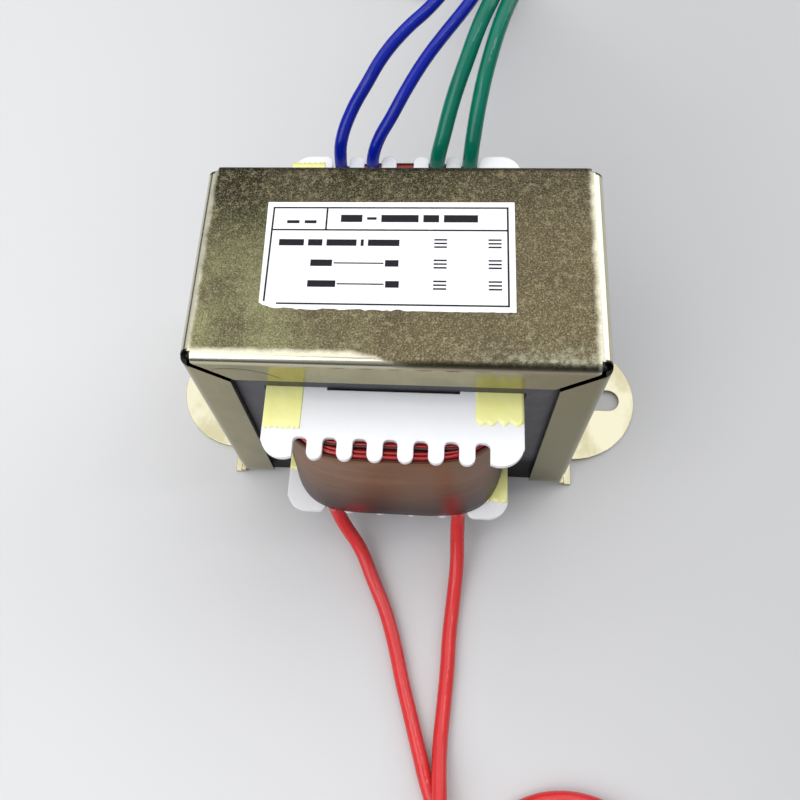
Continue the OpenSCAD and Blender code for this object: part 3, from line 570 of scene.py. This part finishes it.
# %% Gloss and pits of the zinc
SMOOTH_ROUGHNESS = 0.17
STAIN_ROUGHNESS = (0.38, 0.5)
SMOOTH_PITS = 0.08  # share of the pits' depth that the smooth skin keeps
stain_roughness = add_node(zinc_tree, "ShaderNodeMapRange", {},
                           {"Value": cloud, "To Min": STAIN_ROUGHNESS[0], "To Max": STAIN_ROUGHNESS[1]})
roughness = add_node(zinc_tree, "ShaderNodeMix", {"data_type": "FLOAT"},
                     {0: stained, 2: SMOOTH_ROUGHNESS, 3: stain_roughness.outputs["Result"]})
zinc_tree.links.new(roughness.outputs[0], zinc_shader.inputs["Roughness"])
pit_height = times(zinc_tree, pits, plus(zinc_tree, stained, SMOOTH_PITS))
bump(zinc_tree, zinc_shader, pit_height, 0.035, soft_edge_mm=0.15)

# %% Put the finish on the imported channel
def finish_node(name, material):
    """Gives a CAD node its material."""
    nodes[name].data.materials.clear()
    nodes[name].data.materials.append(material)


finish_node("frame", zinc)

# %% [markdown]
# ## The core: silicon steel sheets
# Punched from varnished sheet, so each face is a dull dark grey, and the cut edges show as fine lines half
# a millimetre apart. Towards the bottom the stack is darkened to nearly black by painted shade, and a fade
# over the height gives that.

# %% Material: varnished silicon steel
core_steel, core_tree, core_shader = start_material("silicon_steel", Metallic=0.85, Roughness=0.5)
core_place = place_in_mm(core_tree)
core_height = split(core_tree, core_place)["Z"]
core_tone = blend_color(core_tree, grain(core_tree, core_place, 3.0, 3.0, 0.6), "#55565a", "#6d6e72")
# painted shade: nearly black towards the bottom of the stack
core_tone = blend_color(core_tree, fade(core_tree, core_height, 9.0, 15.0), "#1b1b1d", core_tone)
core_tree.links.new(core_tone, core_shader.inputs["Base Color"])
bump(core_tree, core_shader, grain(core_tree, core_place, 0.5, 2.0), 0.02)
finish_node("e_laminations", core_steel)
finish_node("i_laminations", core_steel)

# %% [markdown]
# ## The bobbin: moulded white nylon
# Nylon is slightly translucent, so light scatters inside it and softens the comb's edges. Subsurface
# scattering of about a millimetre gives that, and the Bevel node rounds the moulded edges.

# %% Material: nylon 66, moulded
nylon, nylon_tree, nylon_shader = start_material("moulded_nylon", Roughness=0.32, IOR=1.53)
nylon_shader.inputs["Subsurface Weight"].default_value = 0.35
nylon_shader.inputs["Subsurface Radius"].default_value = (1.0, 0.95, 0.9)
nylon_shader.inputs["Subsurface Scale"].default_value = 0.8 * MM
nylon_place = place_in_mm(nylon_tree)
nylon_tree.links.new(blend_color(nylon_tree, grain(nylon_tree, nylon_place, 12.0), "#f1f2f7", "#f8f8fb"),
                     nylon_shader.inputs["Base Color"])
bump(nylon_tree, nylon_shader, grain(nylon_tree, nylon_place, 2.5, 2.0), 0.03, soft_edge_mm=0.25)
finish_node("bobbin", nylon)

# %% [markdown]
# ## The windings: enamelled copper wire
# Each winding is turns laid side by side round the bobbin. Only the outer layer and the top turn of each
# layer can be seen through the comb, so a round wire is swept along those turns and a plain ring is left
# behind them. Every turn follows a rounded outline that gets squarer with each layer towards the tube.

# %% Material: enamelled wire
def enamel(name, color, deep):
    """Copper under clear tinted enamel: a coloured metal with a clear coat."""
    material, tree, shader = start_material(name, Metallic=0.35, Roughness=0.3, Coat_Weight=0.45)
    shader.inputs["Coat Roughness"].default_value = 0.08
    place = place_in_mm(tree)
    tree.links.new(blend_color(tree, grain(tree, place, 2.5, 2.0), color, deep), shader.inputs["Base Color"])
    return material


red_enamel = enamel("red_enamel", "#ac0e12", "#7c080a")
copper_enamel = enamel("copper_enamel", "#8a1c10", "#601006")


# %% Outlines, turns and rings
TURN_POINTS, WIRE_SIDES = 96, 8


def oval(a, b, power, count=TURN_POINTS):
    """Points of a closed rounded outline with half widths a and b, squarer as power grows."""
    points = []
    for i in range(count):
        c, s = math.cos(math.tau * i / count), math.sin(math.tau * i / count)
        points.append((math.copysign(a * abs(c) ** (2 / power), c),
                       math.copysign(b * abs(s) ** (2 / power), s)))
    return points


def add_turn(mesh, outline, height, radius):
    """One closed turn of round wire whose middle follows the outline at the given height."""
    loops = []
    for i, (x, y) in enumerate(outline):
        before, after = outline[i - 1], outline[(i + 1) % len(outline)]
        out = Vector((after[1] - before[1], before[0] - after[0], 0)).normalized()
        ring = []
        for k in range(WIRE_SIDES):
            turn = math.tau * k / WIRE_SIDES
            rim = math.cos(turn) * out + math.sin(turn) * Vector((0, 0, 1))
            ring.append(mesh.verts.new((Vector((x, y, height)) + radius * rim) * MM))
        loops.append(ring)
    for ring, following in zip(loops, loops[1:] + loops[:1]):
        for k in range(WIRE_SIDES):
            j = (k + 1) % WIRE_SIDES
            mesh.faces.new((ring[k], following[k], following[j], ring[j])).smooth = True


def add_ring(mesh, outer, inner, bottom, top):
    """A plain closed ring between two outlines with as many points."""
    levels = []
    for outline, height in ((outer, bottom), (outer, top), (inner, top), (inner, bottom)):
        levels.append([mesh.verts.new(Vector((x, y, height)) * MM) for x, y in outline])
    for low, high in zip(levels, levels[1:] + levels[:1]):
        for i in range(len(low)):
            j = (i + 1) % len(low)
            mesh.faces.new((low[i], low[j], high[j], high[i]))


# %% Wound pieces
NESTING = 0.92  # pitch of the layers as a share of the wire, since they sink into each other
WIRE_SKIN = 0.02  # keeps the wire inside its node's box


def winding(name, node, power, wire, layers, material, side_share=1.0):
    """A winding inside its node's box: all turns of the outer layer, and the top turns of the layers within.
    The layers lie closer at the sides, where the window is narrow, by side_share."""
    low, high = (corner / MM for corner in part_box(node))
    half_x, half_y = high.x, high.y
    radius = wire / 2
    mesh = bmesh.new()
    turns = int((high.z - low.z) / wire)
    for turn in range(turns):
        shift = abs(0.04 * noise.noise(Vector((turn * 0.7, 3.1, 0))))
        outline = oval(half_x - radius - WIRE_SKIN - shift, half_y - radius - WIRE_SKIN - shift, power)
        add_turn(mesh, outline, high.z - radius - turn * wire, radius)
    for layer in range(1, layers):
        depth = layer * wire * NESTING
        drop = 0.35 * wire * (layer % 2)
        outline = oval(half_x - radius - depth * side_share, half_y - radius - depth, power + 0.15 * layer)
        add_turn(mesh, outline, high.z - radius - drop, radius)
    depth = layers * wire * NESTING
    inner = oval(half_x - depth * side_share - 0.1, half_y - depth - 0.1, power + 0.4)
    add_ring(mesh, oval(half_x - wire * 0.6, half_y - wire * 0.6, power), inner, low.z, high.z - wire * 0.7)
    bmesh.ops.recalc_face_normals(mesh, faces=mesh.faces)
    print(name, "turns in the outer layer:", turns)
    return add_piece(name, finished_mesh(mesh, name), material, [node])


winding("low_turns", "secondary_winding_low", 3.6, 0.95, 2, red_enamel, 0.35)
winding("main_turns", "secondary_winding_main", 4.6, 0.75, 4, red_enamel, 0.8)
winding("primary_turns", "primary_winding", 7.0, 0.4, 4, copper_enamel)

# %% [markdown]
# ## The film: brown polyester wrap
# A strip of translucent brown film goes a few times round the coil. Where it touches the red leads and
# turns behind it, their colour comes through. The wrap stands away a little at its lower edge, over the
# bottom flange. A lofted shell with slight waves is simplest: the film has thickness. Its faint level
# creases are painted highlights in the colour, its lower part is darkened by painted shade, and its top
# edge is painted dark as shade.

# %% Material: brown translucent polyester film
film, film_tree, film_shader = start_material("brown_film", Roughness=0.42, IOR=1.45, Specular_IOR_Level=0.38)
film_place = place_in_mm(film_tree)
film_x, film_y, film_z = split(film_tree, film_place)
WRAP_LOW, WRAP_HIGH = (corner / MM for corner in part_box("outer_wrap"))


def glow_near(x, low, high, width):
    """1 on the front at x from low to high, fading to 0 at width away."""
    away = fade_away(film_tree, math_value(film_tree, "SUBTRACT", film_x, x), 0.2, width)
    beside = math_value(film_tree, "SUBTRACT", 1.0, away)
    above = fade(film_tree, film_z, low - 3.5, low)
    below = math_value(film_tree, "SUBTRACT", 1.0, fade(film_tree, film_z, high - 6.0, high))
    front = math_value(film_tree, "LESS_THAN", film_y, 0.0)
    return times(film_tree, beside, front, above, below)


lead_glow = math_value(film_tree, "ADD", glow_near(-7.2, 12.0, 21.0, 3.6), glow_near(10.9, 11.0, 27.0, 3.0),
                       clamp=True)
# painted highlights along the faint level creases
crease_highlights = grain(film_tree, film_place, 3.0, 3.0, 0.6, (4.0, 4.0, 0.7))
# painted shade: the lower part of the film is darkened
lower = math_value(film_tree, "SUBTRACT", 1.0, fade(film_tree, film_z, WRAP_LOW.z, WRAP_HIGH.z - 8))
# painted shade along the top edge of the film
shaded_film_edge = fade(film_tree, film_z, WRAP_HIGH.z - 0.5, WRAP_HIGH.z - 0.15)
film_tone = blend_color(film_tree, grain(film_tree, film_place, 7.0, 3.0), "#845b38", "#6e4a2f")
film_tone = overlay(film_tree, film_tone, fade(film_tree, crease_highlights, 0.48, 0.68), 0.22, "#a07c5e")
film_tone = blend_color(film_tree, lower, film_tone, "#351812")
film_tone = overlay(film_tree, film_tone, lead_glow, 0.75, "#8c1c1a")
film_tone = blend_color(film_tree, shaded_film_edge, film_tone, "#421a12")
film_tree.links.new(film_tone, film_shader.inputs["Base Color"])
bump(film_tree, film_shader, grain(film_tree, film_place, 5.0, 2.0, 0.5, (1, 1, 2)), 0.12)

# %% Film shell
FILM_POINTS, FILM_LEVELS = 144, 14
FILM_THICKNESS = 0.22
FILM_FLARE = 0.5  # how far the lower edge stands out past the upper edge


def close_band(mesh, low, high, smooth):
    """Faces between two closed loops of as many points."""
    for i in range(len(low)):
        j = (i + 1) % len(low)
        mesh.faces.new((low[i], low[j], high[j], high[i])).smooth = smooth


def film_wrap():
    """Loft between outlines that widen downwards, with a slight wave, and an inner wall."""
    mesh = bmesh.new()
    walls = []
    for inset in (0.0, FILM_THICKNESS):
        rings = []
        for level in range(FILM_LEVELS + 1):
            up = level / FILM_LEVELS
            flare = (1 - up) ** 1.6
            depth = WRAP_HIGH.y - FILM_FLARE * (1 - flare)
            height = WRAP_LOW.z + up * (WRAP_HIGH.z - WRAP_LOW.z)
            ring = []
            for x, y in oval(WRAP_HIGH.x - inset, depth - inset, 3.6 + 0.8 * flare, FILM_POINTS):
                wave = 0.06 * (noise.noise(Vector((x * 0.12, y * 0.12, height * 0.09))) - 0.6)
                shrink = 1 + wave / Vector((x, y)).length
                ring.append(mesh.verts.new(Vector((x * shrink, y * shrink, height)) * MM))
            rings.append(ring)
        walls.append(rings)
    for rings in walls:
        for low, high in zip(rings, rings[1:]):
            close_band(mesh, low, high, True)
    outer, inner = walls
    close_band(mesh, outer[0], inner[0], False)
    close_band(mesh, outer[-1], inner[-1], False)
    bmesh.ops.recalc_face_normals(mesh, faces=mesh.faces)
    return add_piece("film_wrap", finished_mesh(mesh, "film_wrap"), film, ["outer_wrap"])


film_wrap()

# %% [markdown]
# ## Yellow tapes and inner film
# The margin tapes are thin yellow polyester, laid through the window by hand and torn off against a toothed
# blade. So their ends are uneven zigzags and they lift in small wrinkles. A grid of points laid between two
# torn ends, raised by noise, gives both. The film between two windings is the same brown film, painted
# darker as shade for lying deep in the coil.

# %% Material: yellow polyester tape
tape, tape_tree, tape_shader = start_material("yellow_tape", Roughness=0.3, IOR=1.6)
tape_place = place_in_mm(tape_tree)
tape_tone = blend_color(tape_tree, grain(tape_tree, tape_place, 3.5, 3.0), "#fbf88e", "#fffebc")
tape_tree.links.new(tape_tone, tape_shader.inputs["Base Color"])
bump(tape_tree, tape_shader, grain(tape_tree, tape_place, 1.6, 3.0, 0.6, (1, 2.5, 1)), 0.12)

# %% Material: brown film deep in the coil, painted darker as shade
shaded_inner_film, inner_tree, inner_shader = start_material("shaded_inner_film", Roughness=0.42, IOR=1.45)
inner_cloud = grain(inner_tree, place_in_mm(inner_tree), 4.0)
# painted shade: the film is darkened for lying deep in the coil
inner_tree.links.new(blend_color(inner_tree, inner_cloud, "#42231a", "#2e1711"),
                     inner_shader.inputs["Base Color"])
finish_node("primary_insulation", shaded_inner_film)
finish_node("secondary_insulation", shaded_inner_film)

# %% Torn strips of tape
TAPE_ROWS = 56
TAPE_UNDER, TAPE_OVER = 0.004, 0.07  # heights of its two faces over the flange
WRINKLE_REACH = 9.0  # how far from an end it still wrinkles


def torn_columns(low, high, teeth, tooth, chance):
    """Lines along the tape, each as x and the y of its two ends, which stand in and out as teeth."""
    marks = [0.0]
    for pitch in [0.7 + 0.6 * chance.random() for _ in range(teeth)]:
        marks += [marks[-1] + pitch / 2, marks[-1] + pitch]
    columns = []
    for i, mark in enumerate(marks):
        x = low.x + (high.x - low.x) * mark / marks[-1]
        front = low.y + (tooth * (0.7 + 0.6 * chance.random()) if i % 2 == 0 else 0.12 * chance.random())
        back = high.y - (tooth if i % 2 == 0 else 0.0)
        if columns:
            columns.append(tuple((a + b) / 2 for a, b in zip(columns[-1], (x, front, back))))
        columns.append((x, front, back))
    return columns


def torn_strip(name, teeth, tooth, wrinkle, seed):
    """A strip in its node's box with zigzag ends of the given teeth, lifted in wrinkles up to that height."""
    low, high = (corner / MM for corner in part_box(name))
    columns = torn_columns(low, high, teeth, tooth, random.Random(seed))
    mesh = bmesh.new()
    sheets = []
    for level in (TAPE_UNDER, TAPE_OVER):
        sheet = []
        for x, front, back in columns:
            line = []
            for j in range(TAPE_ROWS + 1):
                y = front + (back - front) * (j / TAPE_ROWS)
                near_end = max(0.0, 1 - min(y - low.y, high.y - y) / WRINKLE_REACH)
                fold = noise.noise(Vector((x * 0.55 + seed, y * 0.4, 0)))
                fold += 0.6 * noise.noise(Vector((x, y * 0.9, seed)))
                lift = wrinkle * near_end * max(0.0, fold + 0.15)
                line.append(mesh.verts.new(Vector((x, y, low.z + level + lift)) * MM))
            sheet.append(line)
        sheets.append(sheet)
    under, over = sheets
    last = len(columns) - 1
    for sheet in sheets:
        for i in range(last):
            for j in range(TAPE_ROWS):
                quad = (sheet[i][j], sheet[i + 1][j], sheet[i + 1][j + 1], sheet[i][j + 1])
                mesh.faces.new(quad if sheet is over else quad[::-1]).smooth = True
    for i in range(last):
        for j, turned in ((0, False), (TAPE_ROWS, True)):
            quad = (under[i][j], under[i + 1][j], over[i + 1][j], over[i][j])
            mesh.faces.new(quad[::-1] if turned else quad)
    for j in range(TAPE_ROWS):
        for i, turned in ((0, True), (last, False)):
            quad = (under[i][j], under[i][j + 1], over[i][j + 1], over[i][j])
            mesh.faces.new(quad[::-1] if turned else quad)
    return add_piece(name + "_strip", finished_mesh(mesh, name + "_strip"), tape, [name])


torn_strip("tape_top_left", 7, 0.3, 0.12, 3)
torn_strip("tape_top_right", 4, 0.75, 0.1, 5)
torn_strip("tape_bottom_left", 5, 0.5, 0.15, 8)
torn_strip("tape_bottom_right", 4, 0.6, 0.6, 11)

# %% [markdown]
# ## Label
# A coated paper label with a printed table. The print is left generic: a frame, a header cell and plain
# bars where a rating would stand. Each stroke is its own thin plate on the paper. The lower edge was torn
# off by hand.

# %% Material: coated paper and printing ink
paper, paper_tree, paper_shader = start_material("label_paper", Roughness=0.42, IOR=1.5)
paper_place = place_in_mm(paper_tree)
paper_tree.links.new(blend_color(paper_tree, grain(paper_tree, paper_place, 5.0), "#f0f1f4", "#f8f9fc"),
                     paper_shader.inputs["Base Color"])
bump(paper_tree, paper_shader, grain(paper_tree, paper_place, 0.4, 2.0), 0.01)
ink, ink_tree, ink_shader = start_material("printing_ink", Roughness=0.55, Specular_IOR_Level=0.25)
ink_place = place_in_mm(ink_tree)
ink_tree.links.new(blend_color(ink_tree, grain(ink_tree, ink_place, 0.6, 2.0), "#08080e", "#14141c"),
                   ink_shader.inputs["Base Color"])

# %% The label's own measures, in millimetres
LABEL_LOW, LABEL_HIGH = (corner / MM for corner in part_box("label"))
LABEL_MIDDLE = Vector((-1.5, 0.7, 0.0))
LABEL_TURN = Matrix.Rotation(math.radians(0.4), 3, "Z")
LABEL_WIDTH, LABEL_DEPTH = 41.5, 20.9
PAPER_TOP = LABEL_HIGH.z - LABEL_LOW.z
PAPER_BEVEL = 0.12
LINE = 0.3
EDGE = 1.0


def on_label(x, y, height):
    """A point in metres from millimetres along the label, at a height above the sheet metal."""
    point = LABEL_TURN @ Vector((x, y, 0)) + LABEL_MIDDLE
    return Vector((point.x, point.y, LABEL_LOW.z + height)) * MM


def add_plate(mesh, outline, bottom, top):
    """A flat plate with the outline given anticlockwise, in millimetres along the label."""
    lower = [mesh.verts.new(on_label(x, y, bottom)) for x, y in outline]
    upper = [mesh.verts.new(on_label(x, y, top)) for x, y in outline]
    mesh.faces.new(upper)
    mesh.faces.new(lower[::-1])
    for i in range(len(outline)):
        j = (i + 1) % len(outline)
        mesh.faces.new((lower[i], lower[j], upper[j], upper[i]))


def label_piece(name, outlines, bottom, top, material, replaced=()):
    """One piece of flat plates on the label."""
    mesh = bmesh.new()
    for outline in outlines:
        add_plate(mesh, outline, bottom, top)
    bmesh.ops.triangulate(mesh, faces=[f for f in mesh.faces if len(f.verts) > 4])
    return add_piece(name, finished_mesh(mesh, name), material, replaced)


# %% [markdown]
# The tear runs along the lower edge. It cuts deepest at the left corner and gets finer on the right.

# %% Torn paper
TEAR_STEPS, ROUGH_STEPS = 60, 34
half_width, half_depth = LABEL_WIDTH / 2, LABEL_DEPTH / 2
paper_outline = [(half_width - PAPER_BEVEL, half_depth), (-half_width + PAPER_BEVEL, half_depth),
                 (-half_width, half_depth - PAPER_BEVEL)]
torn = random.Random(4)
for step in range(TEAR_STEPS):
    x = -half_width + 0.35 + step * (LABEL_WIDTH - 0.5) / (TEAR_STEPS - 1)
    fuzz = 0.35 * torn.random() * (1 if step < ROUGH_STEPS else 0.3)
    paper_outline.append((x, -half_depth + 1.5 * math.exp(-(x + half_width) / 1.6) + fuzz))
paper_outline.append((half_width, -half_depth + 0.1))
paper_outline.append((half_width, half_depth - PAPER_BEVEL))
label_piece("label_sheet", [paper_outline], 0.0, PAPER_TOP - 0.01, paper, ["label"])

# %% Frame and header of the printed table
HEADER_DEPTH, CELL_WIDTH = 4.6, 9.3
left, right = -half_width + EDGE, half_width - EDGE
low, high = -half_depth + EDGE, half_depth - EDGE
header, cell = high - HEADER_DEPTH, left + CELL_WIDTH
bars = [(left, high - LINE, right, high), (left + 2.2, low, right, low + LINE),
        (right - LINE, low, right, high), (left, low + 0.5, left + LINE, high),
        (left, header - LINE / 2, right, header + LINE / 2),
        (cell - LINE / 2, header, cell + LINE / 2, high),
        (left + 2.6, header + 1.3, left + 4.7, header + 1.9),
        (left + 5.6, header + 1.3, left + 7.6, header + 1.9)]
x = cell + 2.4
for word in (3.6, 1.6, 6.2, 2.6, 5.6):
    tall = 0.25 if word < 2 else 0.72
    bars.append((x, header + 2.3 - tall, x + word, header + 2.3 + tall))
    x += word + 0.8

# %% Rows of the printed table: how far each is set in, the gap between its bars, and their widths
ROW_PITCH, MARK_WIDTH = 3.95, 2.1
ROWS = ((1.6, 0.7, (4.2, 2.4, 5.0, 0.5, 5.2)), (7.2, 0.25, (3.6, 8.2, 2.2)), (7.0, 0.25, (4.6, 7.6, 2.2)))
for row, (set_in, gap, words) in enumerate(ROWS):
    x, y = left + set_in, header - 2.5 - row * ROW_PITCH
    for word in words:
        tall = 0.12 if word > 7 else 0.62
        bars.append((x, y - tall, x + word, y + tall))
        x += word + gap
    for mark in (left + 27.4, right - 3.3):
        for rise in (0.5, -0.2, -0.9):
            bars.append((mark, y + rise, mark + MARK_WIDTH, y + rise + LINE))
print("plates of print:", len(bars))
label_piece("label_print", [[(a, b), (c, b), (c, d), (a, d)] for a, b, c, d in bars],
            PAPER_TOP - 0.005, PAPER_TOP + 0.012, ink)

# %% [markdown]
# ## Ties
# The spare length is held by a narrow nylon band round each coil.

# %% Material: natural nylon band
band, band_tree, band_shader = start_material("nylon_band", Roughness=0.4, IOR=1.53)
band_place = place_in_mm(band_tree)
band_tree.links.new(blend_color(band_tree, grain(band_tree, band_place, 2.0), "#e6e6e0", "#f2f2ee"),
                    band_shader.inputs["Base Color"])
bump(band_tree, band_shader, grain(band_tree, band_place, 0.5, 2.0, 0.5, (1, 1, 4)), 0.05, soft_edge_mm=0.1)
finish_node("red_tie", band)
finish_node("secondary_tie", band)
